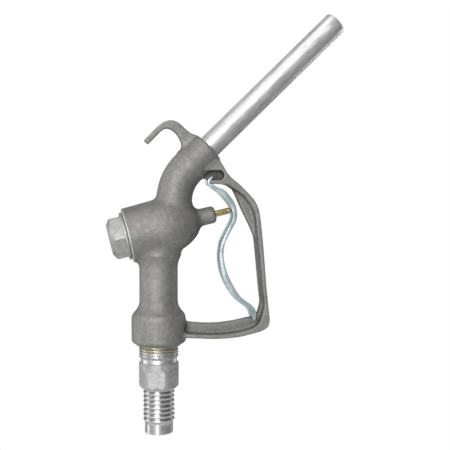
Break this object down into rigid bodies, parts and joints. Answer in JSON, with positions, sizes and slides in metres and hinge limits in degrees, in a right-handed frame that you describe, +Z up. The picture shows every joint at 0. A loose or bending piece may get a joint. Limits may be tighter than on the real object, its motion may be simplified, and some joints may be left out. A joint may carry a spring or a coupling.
{
  "type": "fuel nozzle",
  "caption": "Manual fuel nozzle: cast body with a globe valve, squeeze lever inside an integral guard, hang hook, straight angled spout and barbed hose tail.",
  "frame": {"origin": "centre of the hose tail's lower end, on its axis", "axes": "+Z up the hose tail and grip axis, +X towards the lever, guard and spout, Y across the nozzle, which is symmetric about Y = 0"},
  "size_m": [0.2032, 0.048, 0.3545],
  "materials": {
    "cast_aluminium": "sand cast, matte, shot blasted",
    "drawn_aluminium": "drawn tube, bright with fine streaks",
    "machined_aluminium": "turned and milled",
    "machined_steel": "turned, zinc plated",
    "zinc_plate": "bright zinc plate, bluish",
    "brass": "turned",
    "gauze": "woven wire",
    "steel": "plain",
    "spring_steel": "drawn wire",
    "rubber": "nitrile, matte",
    "fibre": "vulcanised fibre"
  },
  "bodies": {
    "nozzle": {"body_casting": "cast_aluminium", "spout_neck": "cast_aluminium", "trigger_guard": "cast_aluminium", "hang_hook": "cast_aluminium", "hose_tail": "machined_steel", "inlet_gasket": "rubber", "strainer_rim": "brass", "strainer_mesh": "gauze", "spout_tube": "drawn_aluminium", "spout_oring": "rubber", "valve_cap": "machined_aluminium", "cap_gasket": "fibre", "seat_ring": "brass", "seat_gasket": "fibre", "main_spring": "spring_steel", "spring_plate": "steel", "guide_bush": "brass", "seal_washer": "steel", "stem_orings": "rubber", "seal_spacer": "brass", "stem_wiper": "fibre"},
    "valve": {"disc_holder": "brass", "valve_disc": "rubber", "disc_washer": "steel", "lock_washer": "steel", "disc_nut": "brass", "valve_stem": "brass"},
    "lever": {"trigger_lever": "zinc_plate"}
  },
  "joints": [
    {"name": "lever_hinge", "type": "hinge", "parent": "nozzle", "child": "lever", "pos_m": [0.0445, 0, 0.211], "axis": [0, 1, 0], "range_deg": [0, 13], "stiffness_Nm_per_rad": 3, "springref_deg": -17.19},
    {"name": "valve_slide", "type": "slide", "parent": "nozzle", "child": "valve", "axis": [-0.9724, 0, -0.2334], "range_m": [0, 0.0062], "deforming": ["main_spring"]}
  ],
  "couplings": [
    {"joint": "valve_slide", "follows": "lever_hinge", "m_per_rad": 0.0273}
  ]
}
